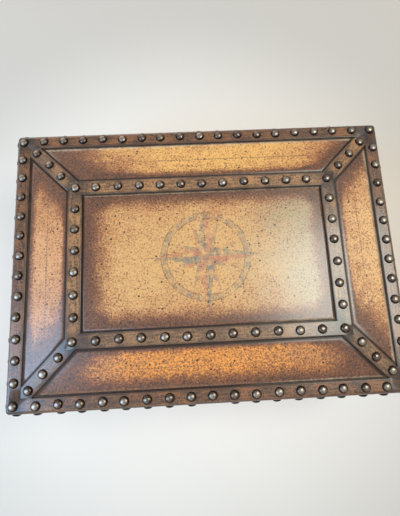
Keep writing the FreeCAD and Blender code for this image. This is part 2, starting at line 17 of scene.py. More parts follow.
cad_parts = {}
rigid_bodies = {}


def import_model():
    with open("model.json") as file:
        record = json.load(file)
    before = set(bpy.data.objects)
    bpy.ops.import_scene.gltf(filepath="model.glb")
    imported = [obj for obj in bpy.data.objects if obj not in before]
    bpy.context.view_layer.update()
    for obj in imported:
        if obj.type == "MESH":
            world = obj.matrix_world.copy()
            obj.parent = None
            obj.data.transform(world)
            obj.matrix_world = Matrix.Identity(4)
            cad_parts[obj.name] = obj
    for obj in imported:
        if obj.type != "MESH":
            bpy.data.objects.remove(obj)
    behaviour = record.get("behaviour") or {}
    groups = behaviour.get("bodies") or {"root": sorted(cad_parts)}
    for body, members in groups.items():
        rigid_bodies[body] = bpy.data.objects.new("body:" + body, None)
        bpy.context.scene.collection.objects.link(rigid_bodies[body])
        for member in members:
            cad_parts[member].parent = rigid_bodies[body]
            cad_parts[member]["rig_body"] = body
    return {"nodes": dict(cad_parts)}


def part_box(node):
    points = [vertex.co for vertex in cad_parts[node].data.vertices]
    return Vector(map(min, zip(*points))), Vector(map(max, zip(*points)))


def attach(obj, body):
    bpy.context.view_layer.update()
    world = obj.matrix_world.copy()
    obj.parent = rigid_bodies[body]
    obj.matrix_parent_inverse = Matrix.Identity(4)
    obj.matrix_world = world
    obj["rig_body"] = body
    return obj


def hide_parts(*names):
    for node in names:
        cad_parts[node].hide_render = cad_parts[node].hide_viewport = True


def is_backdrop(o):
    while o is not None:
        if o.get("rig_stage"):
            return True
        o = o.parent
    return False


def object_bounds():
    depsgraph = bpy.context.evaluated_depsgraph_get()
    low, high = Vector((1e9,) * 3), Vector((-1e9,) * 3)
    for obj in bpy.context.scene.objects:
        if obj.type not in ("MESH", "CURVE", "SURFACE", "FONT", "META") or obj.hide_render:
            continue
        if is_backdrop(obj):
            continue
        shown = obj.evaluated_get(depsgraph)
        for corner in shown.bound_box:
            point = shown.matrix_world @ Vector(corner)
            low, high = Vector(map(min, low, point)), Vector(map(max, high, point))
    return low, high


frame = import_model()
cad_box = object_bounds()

MM = 0.001
SIDES = ("front", "right", "back", "left")
LONG_SIDES = ("front", "back")
CORNERS = ("front_left", "front_right", "back_right", "back_left")


def in_mm(lengths):
    """Lengths in millimetres, rounded for a printed line."""
    return [round(length / MM, 1) for length in lengths]


print("frame of", len(frame["nodes"]), "nodes, its box in mm:", *[in_mm(corner) for corner in cad_box])

# %% [markdown]
# ## The lid's main lines
# The lid is a set of frames, one inside the other, so one number places most things on it: the inset, which
# is the distance in from the outer faces of the straps. Insets and levels can be read from the frame.

# %% Read insets and levels
half_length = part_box("lid_edge_strap_right")[1].x
half_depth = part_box("lid_edge_strap_back")[1].y
strap_width = half_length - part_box("lid_edge_strap_right")[0].x
slope_head = half_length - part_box("inner_strap_right")[1].x
crown_edge = slope_head + strap_width
ledge_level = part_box("lid_rail_front")[1].z
crown_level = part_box("inner_strap_front")[0].z
GROOVE = 1 * MM
DIAGONAL = math.sqrt(0.5)
print("insets of strap, slope and crown in mm:", in_mm((strap_width, slope_head, crown_edge)))

# %% [markdown]
# ## Shader arithmetic
# Patterns such as a worn edge are sums: a distance, some noise and a threshold. Wiring each sum by hand takes
# many Math nodes, so a small class wraps an output socket, and ordinary Python operators add the nodes. Every
# other node comes from one method, which takes the node's type, its settings and what feeds its sockets.


# %% A socket with operators
class Socket:
    """An output of a node. Arithmetic on it adds Math nodes beside it."""

    def __init__(self, wiring, output):
        self.wiring = wiring
        self.output = output

    def maths(self, operation, *others):
        values = dict(enumerate((self, *others)))
        return self.wiring.node("ShaderNodeMath", {"operation": operation}, values)

    def __add__(self, other):
        return self.maths("ADD", other)

    def __sub__(self, other):
        return self.maths("SUBTRACT", other)

    def __rsub__(self, other):
        return self.wiring.node("ShaderNodeMath", {"operation": "SUBTRACT"}, {0: other, 1: self})

    def __mul__(self, other):
        return self.maths("MULTIPLY", other)

    __radd__ = __add__
    __rmul__ = __mul__

    def __truediv__(self, other):
        return self.maths("DIVIDE", other)

    def __abs__(self):
        return self.maths("ABSOLUTE")

    def most(self, other):
        return self.maths("MAXIMUM", other)

    def least(self, *others):
        result = self
        for other in others:
            result = result.maths("MINIMUM", other)
        return result

    def ease(self, low, high):
        """0 at low, 1 at high, and a smooth step between them. High may be below low."""
        reach = {"Value": self, "From Min": low, "From Max": high}
        return self.wiring.node("ShaderNodeMapRange", {"interpolation_type": "SMOOTHSTEP"}, reach)

    def sway(self, amount):
        """Noise from 0 to 1, turned into a push by up to half the amount to either side of 0."""
        return (self - 0.5) * amount

    def beside(self, name):
        """Another output of the same node."""
        return Socket(self.wiring, self.output.node.outputs[name])


print("sockets can be added, multiplied and eased")


# %% One method for every other node
class Wiring:
    """The nodes of a material or of the world."""

    def __init__(self, tree):
        self.tree = tree

    def node(self, kind, settings=None, inputs=None, output=0):
        """Add a node: its settings first, then a value or a link for each input that is named."""
        made = self.tree.nodes.new(kind)
        for key, setting in (settings or {}).items():
            setattr(made, key, setting)
        for key, value in (inputs or {}).items():
            self.feed(made.inputs[key], value)
        return Socket(self, made.outputs[output])

    def feed(self, target, value):
        if isinstance(value, Socket):
            self.tree.links.new(value.output, target)
        else:
            target.default_value = value

    def axes(self, vector):
        """The three numbers of a vector."""
        x = self.node("ShaderNodeSeparateXYZ", {}, {"Vector": vector})
        return x, x.beside("Y"), x.beside("Z")

    def seen(self):
        """1 for what is seen straight, in a mirror or through glass, and 0 for light that falls on things."""
        straight = self.node("ShaderNodeLightPath", output="Is Camera Ray")
        total = straight + straight.beside("Is Glossy Ray") + straight.beside("Is Transmission Ray")
        return total.least(1.0)


print("node kit ready")

# %% A material
SPECK_BORDER = 0.06


def tint(red, green, blue):
    """An sRGB colour, 0 to 255, as the linear colour that a shader takes."""
    shares = [channel / 255 for channel in (red, green, blue)]
    linear = [s / 12.92 if s <= 0.04045 else ((s + 0.055) / 1.055) ** 2.4 for s in shares]
    return (*linear, 1.0)


class Finish(Wiring):
    """One material with a Principled shader. Its constants are set on the shader's own sockets."""

    def __init__(self, name, **constants):
        self.material = bpy.data.materials.new(name)
        self.material.use_nodes = True
        super().__init__(self.material.node_tree)
        self.shader = self.tree.nodes["Principled BSDF"]
        for key, constant in constants.items():
            self.onto(key.replace("_", " "), constant)
        self.place = self.node("ShaderNodeTexCoord", output="Object")

    def attribute(self, name):
        """A number stored on the points of a mesh."""
        return self.node("ShaderNodeAttribute", {"attribute_name": name}, output="Fac")

    def mix(self, factor, under, over):
        return self.node("ShaderNodeMix", {"data_type": "RGBA"}, {0: factor, 6: under, 7: over}, output=2)

    def stretch(self, vector, scale, turn=0.0):
        inputs = {"Vector": vector, "Scale": scale, "Rotation": (0, 0, turn)}
        return self.node("ShaderNodeMapping", {}, inputs)

    def cloud(self, size, detail=4.0, roughness=0.55, vector=None):
        """Noise from 0 to 1 whose blotches are about the given size."""
        inputs = {"Vector": vector or self.place, "Scale": 1 / size, "Detail": detail, "Roughness": roughness}
        return self.node("ShaderNodeTexNoise", {}, inputs)

    def specks(self, spacing, radius, share):
        """Round specks: one in a share of the cells, no two of the same size."""
        distance = self.node("ShaderNodeTexVoronoi", {}, {"Vector": self.place, "Scale": 1 / spacing})
        chance, _, _ = self.axes(distance.beside("Color"))
        size = chance.ease(1 - share, 1.0) * (radius / spacing)
        return (size - distance).ease(0.0, SPECK_BORDER)

    def onto(self, name, value):
        """Feed a socket of the shader."""
        self.feed(self.shader.inputs[name], value)

    def surface(self, colour, roughness, bump=None, depth=0.0):
        self.onto("Base Color", colour)
        self.onto("Roughness", roughness)
        if bump:
            relief = {"Height": bump, "Distance": depth, "Strength": 1.0}
            self.onto("Normal", self.node("ShaderNodeBump", {}, relief))
        return self.material


print("material kit ready")

# %% [markdown]
# ## Painted panels
# The panels are painted gold over brown, rubbed dark where hands and polish gather along the straps,
# spattered with tiny dark specks and sealed with lacquer. The rubbed edges must follow each panel's own
# outline. Painting a picture for each panel would be slow, so the shader measures how far a point is from the
# panel's edges and lets noise push that border about.

# %% How far each edge is rubbed, and how far its painted highlight and shade reach
def by_side(front, right, back, left):
    """Lengths in millimetres, one for each side of the lid."""
    return {side: length * MM for side, length in zip(SIDES, (front, right, back, left))}


OUTER_REACH = by_side(front=21, right=4, back=3, left=10)
INNER_REACH = by_side(front=8, right=8, back=10, left=6)
# The first end of a slope is its left one or, on the slopes at the sides, its front one.
FIRST_HIP_REACH = by_side(front=34, right=36, back=58, left=33)
SECOND_HIP_REACH = by_side(front=30, right=26, back=24, left=32)
HIP_CHANGE = 30 * MM
CROWN_REACH = by_side(front=22, right=19, back=21, left=30)
# A pale painted highlight runs along the panels' edges, widest at the back and right.
HIGHLIGHT_REACH = by_side(front=2.2, right=3.6, back=3.6, left=0.6)
# Painted shade with some grime darkens the grooves by the straps and the seams, most on the left and front.
GRIME_AND_SHADE_REACH = by_side(front=1.3, right=0.9, back=0.8, left=2.4)
SEAM_GRIME_AND_SHADE = by_side(front=3.4, right=1.9, back=1.9, left=1.9)
FADE_REACH = 80 * MM
# The painted highlight along a front edge is full at the first place along X and gone at the second.
FRONT_HIGHLIGHT_PLACES = (90 * MM, -30 * MM)
CLEAR_OF_HIGHLIGHT = 2.0


def rubbed_share(distances, reaches):
    """1 clear of every edge, less and less towards an edge, and least in a corner where edges add up."""
    total = 1.0
    for distance, reach in zip(distances, reaches):
        total = total - (1.0 - distance / reach).most(0.0)
    return total


def front_highlight(distance, x):
    """The painted highlight along a front edge, which shows only towards the right."""
    return distance / HIGHLIGHT_REACH["front"] + x.ease(*FRONT_HIGHLIGHT_PLACES) * CLEAR_OF_HIGHLIGHT


def slope_edges(finish, side):
    """Where a point of a slope lies: how rubbed, how clear of shade and grime, how highlit, how near the
    middle.
    """
    x, y, _ = finish.axes(finish.place)
    across = half_length - abs(x)
    along = half_depth - abs(y)
    inset = across.least(along)
    outer = inset - (strap_width + GROOVE)
    inner = (slope_head - GROOVE) - inset
    hip = abs(across - along) * DIAGONAL - (strap_width / 2 + GROOVE)
    run = x if side in LONG_SIDES else y
    first = run.ease(HIP_CHANGE, -HIP_CHANGE)
    hip_reach = first * (FIRST_HIP_REACH[side] - SECOND_HIP_REACH[side]) + SECOND_HIP_REACH[side]
    share = rubbed_share((outer, inner, hip), (OUTER_REACH[side], INNER_REACH[side], hip_reach))
    clear = (outer / GRIME_AND_SHADE_REACH[side]).least(inner / SEAM_GRIME_AND_SHADE[side], hip / SEAM_GRIME_AND_SHADE[side])
    worn = front_highlight(outer, x) if side == "front" else outer / HIGHLIGHT_REACH[side]
    return share, clear, worn, hip / FADE_REACH


print("slopes are rubbed beside the outer straps, in mm:", in_mm(OUTER_REACH.values()))

# %% [markdown]
# The central panel and the walls give the same four numbers, so one finish can paint them all. A wall's field
# is framed by straps, and its lip beside the lid's seam stays dark.

# %% Edges of the central panel and of the walls
CROWN_HIGHLIGHT_SHARE = 0.5
CROWN_FADE_START = 0.3
LIP_REACH = 16 * MM


def crown_edges(finish):
    """How rubbed, clear of shade and grime, highlit and near the middle a point of the central panel is."""
    x, y, _ = finish.axes(finish.place)
    half_x = half_length - crown_edge - GROOVE
    half_y = half_depth - crown_edge - GROOVE
    bands = {"left": x + half_x, "right": half_x - x, "front": y + half_y, "back": half_y - y}
    worn = (bands["back"] / (HIGHLIGHT_REACH["back"] * CROWN_HIGHLIGHT_SHARE)).least(front_highlight(bands["front"], x))
    share = rubbed_share(bands.values(), [CROWN_REACH[side] for side in bands])
    clear, *others = [bands[side] / GRIME_AND_SHADE_REACH[side] for side in bands]
    nearest = bands["left"].least(bands["right"], bands["front"], bands["back"])
    return share, clear.least(*others), worn, nearest / FADE_REACH + CROWN_FADE_START


def wall_edges(finish, span_axis, half_span):
    """The same for a wall that spans the given axis."""
    place = finish.axes(finish.place)
    level = place[2]
    ends = (half_span - strap_width - GROOVE) - abs(place[span_axis])
    above_base = level - (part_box("base_strap_front")[1].z + GROOVE)
    below_rim = (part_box("rim_strap_front")[0].z - GROOVE) - level
    field = ends.least(above_base, below_rim)
    lip = (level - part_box("rim_strap_front")[1].z).least(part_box("lid_edge_strap_front")[0].z - level)
    share = rubbed_share((ends, above_base, below_rim), [CROWN_REACH["front"]] * 3)
    nearest = field.most(lip)
    share = share.most(lip / LIP_REACH)
    return share, nearest / SEAM_GRIME_AND_SHADE["back"], nearest / HIGHLIGHT_REACH["front"], ends / FADE_REACH


print("the central panel is rubbed along its edges, in mm:", in_mm(CROWN_REACH.values()))

# %% [markdown]
# The paint goes on in layers: tan and gold, then, as a decorator would do it, russet and umber rubbed in from
# the edges, fine flecks and spattered specks. Over these go a pale painted highlight along edges, in patches
# like worn paint, and painted shade with some grime in the grooves.

# %% The painted finish
TAN = tint(196, 136, 84)
RUSSET = tint(138, 78, 46)
UMBER = tint(55, 40, 35)
# Soot also paints shade and grime in the grooves, and the pale tint after it paints a highlight along edges.
SOOT = tint(30, 24, 23)
EDGE_HIGHLIGHT = tint(206, 186, 158)
PATCH_SIZE = 48 * MM
BLOTCH_SIZE = 15 * MM
GRAIN_SIZE = 2.0 * MM
PAINT_RELIEF = 0.12 * MM
SMALL_SPECKS = {"spacing": 2.6 * MM, "radius": 0.8 * MM, "share": 0.6}
LARGE_SPECKS = {"spacing": 4.6 * MM, "radius": 1.25 * MM, "share": 0.5}
# Each pair says where a layer starts to show and where it shows in full.
GOLD_SHOWS = (0.4, 0.9)
RUSSET_SHOWS = (1.08, 0.42)
UMBER_SHOWS = (0.75, 0.05)
EMBERS_SHOW = (0.53, 0.42)
HIGHLIGHT_SHOWS = (1.3, 0.4)
HIGHLIGHT_PATCHES = (0.2, 0.7)
GRIME_AND_SHADE_SHOWS = (1.0, 0.2)
LEAST_SHARE = 0.2
RED_FLECK_START = -0.09
RED_FLECK_FULL = 0.08
DARK_FLECK_FULL = 0.12
OPACITY = {
    "russet": 0.85, "umber": 0.95, "embers": 0.85, "red_flecks": 0.75, "dark_flecks": 0.6,
    "small_specks": 0.8, "large_specks": 0.95, "highlight": 0.75, "grime_and_shade": 0.85, "lacquer": 0.8,
}


class PaintedFinish(Finish):
    """Paint that knows how rubbed, clear of shade and grime, highlit and near the middle each point is."""

    def __init__(self, name, edges):
        super().__init__(name, Coat_Roughness=0.25, Coat_IOR=1.75, Specular_IOR_Level=0.35)
        share, self.clear, self.worn, middle = edges(self)
        self.blotch = self.cloud(BLOTCH_SIZE, detail=6.0, roughness=0.68)
        self.grain = self.cloud(GRAIN_SIZE, detail=3.0, roughness=0.9)
        bright = middle.least(1.0) * 0.5 + self.cloud(PATCH_SIZE) * 0.7
        self.lit = (bright + self.blotch.sway(0.55) + self.grain.sway(-0.9)).ease(*GOLD_SHOWS)
        self.band = share.most(LEAST_SHARE) + self.blotch.sway(0.6) + self.grain.sway(-1.8)
        self.dark = self.band.ease(*UMBER_SHOWS)

    def rub_dark(self, colour):
        """Russet and then umber along the edges, with some russet grain left glowing in the umber."""
        colour = self.mix(self.band.ease(*RUSSET_SHOWS) * OPACITY["russet"], colour, RUSSET)
        colour = self.mix(self.dark * OPACITY["umber"], colour, UMBER)
        embers = self.dark * self.grain.ease(*EMBERS_SHOW) * OPACITY["embers"]
        return self.mix(embers, colour, RUSSET)

    def fleck(self, colour, start, thinning):
        """Flecks where the grain peaks: red, and dark at their cores, thinned out on bright gold."""
        red = self.grain.ease(start + RED_FLECK_START, start + RED_FLECK_FULL) * (1 - self.dark * 0.8)
        red = red * (OPACITY["red_flecks"] - self.lit * thinning)
        dark = self.grain.ease(start, start + DARK_FLECK_FULL)
        dark = dark * (OPACITY["dark_flecks"] - self.lit * thinning)
        return self.mix(dark, self.mix(red, colour, RUSSET), UMBER)

    def spatter(self, colour):
        """Drops of dark paint in two sizes."""
        colour = self.mix(self.specks(**SMALL_SPECKS) * OPACITY["small_specks"], colour, SOOT)
        return self.mix(self.specks(**LARGE_SPECKS) * OPACITY["large_specks"], colour, SOOT)

    def edge_light_and_shade(self, colour):
        """A painted highlight along the edges, and painted shade and grime in the grooves, which the lacquer
        hardly reaches.
        """
        highlight = (self.worn + self.grain.sway(1.6)).ease(*HIGHLIGHT_SHOWS) * self.blotch.ease(*HIGHLIGHT_PATCHES)
        colour = self.mix(highlight * OPACITY["highlight"], colour, EDGE_HIGHLIGHT)
        grime_and_shade = (self.clear + self.grain.sway(0.8)).ease(*GRIME_AND_SHADE_SHOWS)
        self.onto("Coat Weight", OPACITY["lacquer"] - grime_and_shade * 0.7)
        return self.mix(grime_and_shade * OPACITY["grime_and_shade"], colour, SOOT)


def painted(name, gold, edges, ink=None, glare=None, start=0.56, thinning=0.35):
    """The finish of one panel, with an optional painted glare under the rubbing and a drawing over it."""
    finish = PaintedFinish(name, edges)
    colour = finish.mix(finish.lit, TAN, gold)
    if glare:
        colour = glare(finish, colour)
    colour = finish.rub_dark(colour)
    if ink:
        colour = ink(finish, colour)
    colour = finish.fleck(colour, start, thinning)
    colour = finish.spatter(colour)
    colour = finish.edge_light_and_shade(colour)
    relief = finish.grain + finish.blotch * 2.0
    return finish.surface(colour, 0.42 + finish.blotch * 0.14, relief, PAINT_RELIEF)


print("the paint has", len(OPACITY), "layers")

# %% [markdown]
# ## A faded wind rose
# The middle of the lid carries an old-fashioned chart ornament. A wind rose is the common one: a star with
# light and dark halves inside a ring of alternating blocks, and thin lines that run out from it across the
# panels. The shader folds the angle round the centre into one point of the star, so a straight line test
# draws all the points at once.

# %% Stars, rings and ruled lines
LINE_CORE = 0.4
STAR_BORDER = 0.6 * MM
HALF_BORDER = 0.01
RHUMB_LINES = 16
RHUMB_START_SHARE = 1.1


def polar(finish):
    """How far a point is from the lid's centre, and at what angle."""
    x, y, _ = finish.axes(finish.place)
    radius = (x * x + y * y).maths("SQRT")
    return radius, y.maths("ARCTAN2", x)


def fold(angle, count, turn=0.0):
    """The angle from the nearest of so many spokes."""
    wedge = 2 * math.pi / count
    return (angle + (turn + 2 * math.pi + wedge / 2)).maths("MODULO", wedge) - wedge / 2


def star(radius, angle, points, tip, waist, turn):
    """Inside of a star, and on which half of each point: both 0 or 1."""
    wedge = 2 * math.pi / points
    folded = fold(angle, points, turn)
    along = radius * abs(folded).maths("COSINE")
    across = radius * abs(folded).maths("SINE")
    waist_along = waist * math.cos(wedge / 2)
    waist_across = waist * math.sin(wedge / 2)
    slack = (tip - along) * waist_across - across * (tip - waist_along)
    inside = (slack / waist_across).ease(0.0, STAR_BORDER)
    return inside, folded.ease(-HALF_BORDER, HALF_BORDER)


def ring(radius, where, width):
    return abs(radius - where).ease(width, width * LINE_CORE)


def rhumb_lines(radius, angle, start, width):
    """Thin lines that run out from the rose, beginning at the given radius."""
    folded = fold(angle, RHUMB_LINES)
    line = (radius * abs(folded).maths("SINE")).ease(width, width * LINE_CORE)
    return line * radius.ease(start, start * RHUMB_START_SHARE)


print(RHUMB_LINES, "ruled lines run out from the rose")

# %% Ink and painted glare on the panels
BLUE_GREY = tint(112, 120, 112)
DULL_PINK = tint(186, 118, 92)
INK = tint(74, 62, 54)
GLARE_GREY = tint(152, 150, 120)
ROSE_TIP = 60 * MM
ROSE_RING = 40 * MM
ROSE_BAND = 6 * MM
BAND_BLOCKS = 32
LARGE_STAR = {"points": 4, "tip": ROSE_TIP, "waist": ROSE_TIP * 0.2, "turn": 0.0}
SMALL_STAR = {"points": 8, "tip": ROSE_TIP * 0.62, "waist": ROSE_TIP * 0.22, "turn": math.pi / 8}
RING_LINE = 0.8 * MM
ROSE_RHUMB = 0.35 * MM
SLOPE_RHUMB = 0.45 * MM
ROSE_FADE_SIZE = 7 * MM
LINE_FADE_SIZE = 24 * MM
DASH_STEP = 3.2 * MM
DASH_LINE = (0.8 * MM, 0.3 * MM)
DASH_ORIGIN = 1.0
GLARE_PLACES = (20 * MM, 120 * MM)
GLARE_SIZE = 30 * MM
GLARE_DRIFT = 90 * MM


def painted_glare(finish, colour):
    """A grey-green painted glare that comes in from the right, where the light's reflection veils the gold.
    """
    x, _, _ = finish.axes(finish.place)
    glare = (x + finish.cloud(GLARE_SIZE).sway(GLARE_DRIFT)).ease(*GLARE_PLACES)
    return finish.mix(glare * 0.75, colour, GLARE_GREY)


def rose_ink(finish, colour):
    """The rose: a band of blocks, a small star under a large one, then rings and ruled lines."""
    radius, angle = polar(finish)
    fade = finish.cloud(ROSE_FADE_SIZE, detail=5.0).ease(0.32, 0.62)
    band = ring(radius, ROSE_RING + ROSE_BAND / 2, ROSE_BAND / 2)
    blocks = (angle * (BAND_BLOCKS / (2 * math.pi))).maths("FRACT").ease(0.45, 0.55)
    colour = finish.mix(band * fade * (0.35 + blocks * 0.35), colour, BLUE_GREY)
    small, small_half = star(radius, angle, **SMALL_STAR)
    large, large_half = star(radius, angle, **LARGE_STAR)
    colour = finish.mix(small * fade * 0.6, colour, finish.mix(small_half, BLUE_GREY, DULL_PINK))
    colour = finish.mix(large * fade * 0.75, colour, finish.mix(large_half, DULL_PINK, BLUE_GREY))
    lines = ring(radius, ROSE_RING, RING_LINE) + ring(radius, ROSE_RING + ROSE_BAND, RING_LINE)
    lines = lines + rhumb_lines(radius, angle, ROSE_RING + ROSE_BAND, ROSE_RHUMB) * 0.45
    return finish.mix(lines.least(1.0) * fade * 0.7, colour, INK)


def ruled_ink(finish, colour):
    """A dashed line along the middle of a sloping panel, and the lines that run out from the rose."""
    radius, angle = polar(finish)
    x, y, _ = finish.axes(finish.place)
    inset = (half_length - abs(x)).least(half_depth - abs(y))
    line = abs(inset - (strap_width + slope_head) / 2).ease(*DASH_LINE)
    dashes = ((x + y + DASH_ORIGIN) / DASH_STEP).maths("FRACT").ease(0.7, 0.6)
    fade = finish.cloud(LINE_FADE_SIZE).ease(0.3, 0.58)
    lines = line * dashes + rhumb_lines(radius, angle, ROSE_RING, SLOPE_RHUMB) * 0.35
    return finish.mix(lines.least(1.0) * fade * 0.85, colour, INK)


print("the rose is", *in_mm([2 * ROSE_TIP]), "mm from tip to tip")

# %% Paint for each panel
CROWN_GOLD = tint(220, 172, 110)
WALL_GOLD = tint(230, 164, 88)
# The golds differ by slope partly as painted light: the right one paler where light glances off it, the front
# one deeper.
SLOPE_GOLD = {
    "front": tint(242, 158, 68),
    "left": tint(216, 160, 110),
    "back": tint(236, 180, 102),
    "right": tint(236, 188, 130),
}
FRONT_FLECKS = {"start": 0.51, "thinning": 0.1}
CROWN_THINNING = 0.42


def slope_finish(side):
    edges = partial(slope_edges, side=side)
    flecks = FRONT_FLECKS if side == "front" else {}
    return painted(f"painted_slope_{side}", SLOPE_GOLD[side], edges, ruled_ink, **flecks)


def wall_finish(name, span_axis, half_span):
    return painted(name, WALL_GOLD, partial(wall_edges, span_axis=span_axis, half_span=half_span))


crown_paint = painted(
    "painted_crown", CROWN_GOLD, crown_edges, rose_ink, painted_glare, thinning=CROWN_THINNING,
)
slope_paint = {side: slope_finish(side) for side in SIDES}
long_wall_paint = wall_finish("painted_long_walls", 0, half_length)
short_wall_paint = wall_finish("painted_short_walls", 1, half_depth)
print("painted finishes:", crown_paint.name, *[paint.name for paint in slope_paint.values()])

# %% [markdown]
# ## Bare wood inside
# Inside, the boards are only stained. Wood grain is noise drawn out along the board, with thin dark pores.
# The boards run along X or along Y, so the stain is made twice, with the stretch turned.

# %% Stained wood
STAIN = tint(112, 76, 50)
STAIN_DARK = tint(66, 42, 28)
WOOD_GRAIN = 5 * MM
WOOD_PORE = 0.9 * MM
WOOD_RELIEF = 0.15 * MM
GRAIN_STRETCH = (0.12, 1.0, 1.0)
PORE_STRETCH = (0.05, 1.0, 1.0)


def stained(name, turn):
    finish = Finish(name, Specular_IOR_Level=0.35)
    along_grain = finish.stretch(finish.place, GRAIN_STRETCH, turn)
    along_pores = finish.stretch(finish.place, PORE_STRETCH, turn)
    grain = finish.cloud(WOOD_GRAIN, detail=6.0, roughness=0.65, vector=along_grain)
    pores = finish.cloud(WOOD_PORE, detail=2.0, vector=along_pores)
    colour = finish.mix(grain.ease(0.3, 0.7), STAIN_DARK, STAIN)
    colour = finish.mix(pores.ease(0.62, 0.75) * 0.6, colour, STAIN_DARK)
    return finish.surface(colour, 0.55 + grain * 0.15, grain * 0.5 - pores.ease(0.6, 0.75), WOOD_RELIEF)


stain_long = stained("stained_wood_long", 0.0)
stain_short = stained("stained_wood_short", math.pi / 2)
print("stains:", stain_long.name, stain_short.name)

# %% [markdown]
# ## Strap leather
# The straps are dark brown leather under lacquer, in three shades that are partly painted light: the outer
# frame is darkest, and the paler straps stand in partly for a sheen of light on them. All are streaked along
# their length, rubbed to copper in patches, darker along both edges and nearly black at the ends. These
# follow each strap, so they read a flat layout stored on the strap itself: how far along it a point is, how
# far across, and how long the strap is.

# %% The leather finish
LEATHER_DARK = tint(58, 45, 40)
STREAK_BROWN = tint(84, 62, 48)
CHARCOAL = tint(36, 33, 37)
STREAK_SIZE = 2.6 * MM
STREAK_STRETCH = (0.14, 1.0, 1.0)
RUB_SIZE = 18 * MM
HIDE_SIZE = 1.7 * MM
LEATHER_RELIEF = 0.12 * MM
# A strap darkens between these distances from its centre line.
EDGE_PLACES = (5.0 * MM, 7.4 * MM)
EDGE_WANDER = 4 * MM
CORNER_REACH = 40 * MM


def leather(name, dark, brown, copper, soot_share):
    """Lacquered leather from its dark, plain and rubbed colours, and how sooty its ends are."""
    finish = Finish(name, Coat_Weight=0.8, Coat_Roughness=0.18, Coat_IOR=1.55, Specular_IOR_Level=0.4)
    lay = finish.node("ShaderNodeUVMap", {"uv_map": "lay"})
    along, across, _ = finish.axes(lay)
    half = finish.attribute("half_run")
    drawn_out = finish.stretch(lay, STREAK_STRETCH)
    streaks = finish.cloud(STREAK_SIZE, detail=5.0, roughness=0.7, vector=drawn_out)
    patches = finish.cloud(RUB_SIZE)
    hide = finish.cloud(HIDE_SIZE, detail=2.0, roughness=0.7)
    colour = finish.mix((streaks + hide.sway(0.8)).ease(0.31, 0.62), dark, brown)
    rubbed = (patches + streaks.sway(0.9) + hide.sway(0.8)).ease(0.44, 0.68)
    colour = finish.mix(rubbed * 0.75, colour, copper)
    edge = across.maths("PINGPONG", strap_width / 2) + hide.sway(EDGE_WANDER)
    colour = finish.mix(edge.ease(*EDGE_PLACES) * 0.75, colour, LEATHER_DARK)
    reach = (half * 0.5).least(CORNER_REACH)
    end = ((half - abs(along)) / reach + patches.sway(1.0)).ease(1.0, 0.1)
    colour = finish.mix(end * soot_share, colour, CHARCOAL)
    return finish.surface(colour, 0.36 + streaks * 0.14, hide + streaks, LEATHER_RELIEF)


# The paler leathers are partly a painted sheen of light on the straps where they are used.
outer_leather = leather("strap_leather", LEATHER_DARK, tint(112, 77, 54), tint(146, 96, 60), 0.95)
inner_leather = leather("strap_leather_inner", STREAK_BROWN, tint(126, 97, 74), tint(160, 120, 82), 0.8)
pale_leather = leather("strap_leather_pale", STREAK_BROWN, tint(148, 109, 76), tint(182, 133, 88), 0.65)
INNER_STRAP_LEATHER = {
    "front": inner_leather,
    "right": inner_leather,
    "back": pale_leather,
    "left": pale_leather,
}
HIP_STRAP_LEATHER = {
    "front_left": outer_leather,
    "front_right": inner_leather,
    "back_right": pale_leather,
    "back_left": inner_leather,
}
print("each leather has", len(outer_leather.node_tree.nodes), "nodes")

# %% [markdown]
# ## Copies of the frame's boards and straps
# A frame node comes as loose triangles with knife-sharp edges. No real edge is that sharp, and a soft edge is
# what catches the light. So each board and strap is copied, and its triangles are joined back into flat
# faces that can be rolled or rounded. Mitred ends stay sharp, so that a frame of four straps closes.

# %% Helpers that copy and finish a node
SAME_PLACE = 0.004 * MM
FLAT_ANGLE = math.radians(0.6)
SHARP_ANGLE = math.radians(40)
NORMAL_SLACK = 0.01


def copy_of(node):
    work = bmesh.new()
    work.from_mesh(frame["nodes"][node].data)
    bmesh.ops.remove_doubles(work, verts=work.verts, dist=SAME_PLACE)
    bmesh.ops.dissolve_limit(work, angle_limit=FLAT_ANGLE, verts=work.verts, edges=work.edges)
    return work


def soften(work, edges, width, segments=3):
    if edges:
        bmesh.ops.bevel(
            work, geom=edges, offset=width, offset_type="OFFSET", affect="EDGES",
            segments=segments, profile=0.5, material=-1, clamp_overlap=True,
        )


def sharp_edges(work):
    """The convex edges where two faces meet at a clear angle."""
    joined = [edge for edge in work.edges if len(edge.link_faces) == 2]
    return [edge for edge in joined if edge.calc_face_angle_signed(0.0) > SHARP_ANGLE]


def is_mitre(face):
    """True for an upright face at half a right angle, where two pieces of a frame meet."""
    upright = abs(face.normal.z) < NORMAL_SLACK
    return upright and abs(abs(face.normal.x) - abs(face.normal.y)) < NORMAL_SLACK


def mesh_of(work, name):
    """The mesh that a finished bmesh makes."""
    mesh = bpy.data.meshes.new(name)
    work.to_mesh(mesh)
    work.free()
    return mesh


def in_scene(name, data):
    """A new object in the scene, for a mesh, a lamp or a camera."""
    thing = bpy.data.objects.new(name, data)
    bpy.context.scene.collection.objects.link(thing)
    return thing


def make_piece(work, name, finishes, nodes):
    """Turn a bmesh into an object that stands for frame nodes and rides on their body."""
    for face in work.faces:
        face.smooth = True
    piece = in_scene(name, mesh_of(work, name))
    for finish in finishes:
        piece.data.materials.append(finish)
    shading = piece.modifiers.new("even_normals", "WEIGHTED_NORMAL")
    shading.keep_sharp = True
    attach(piece, frame["nodes"][nodes[0]]["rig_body"])
    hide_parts(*nodes)
    return piece


print("edges sharper than", round(math.degrees(SHARP_ANGLE)), "degrees can be rounded")

# %% [markdown]
# ## Panels with rolled edges
# Each panel's raised field rolls down into the groove beside the straps, and that roll shows as a pale or
# dark band. The field's face is lowered to the groove, then inset a few times, rising less at each step. That
# draws a rounded shoulder which ends at the field's own level, narrower on the central panel.

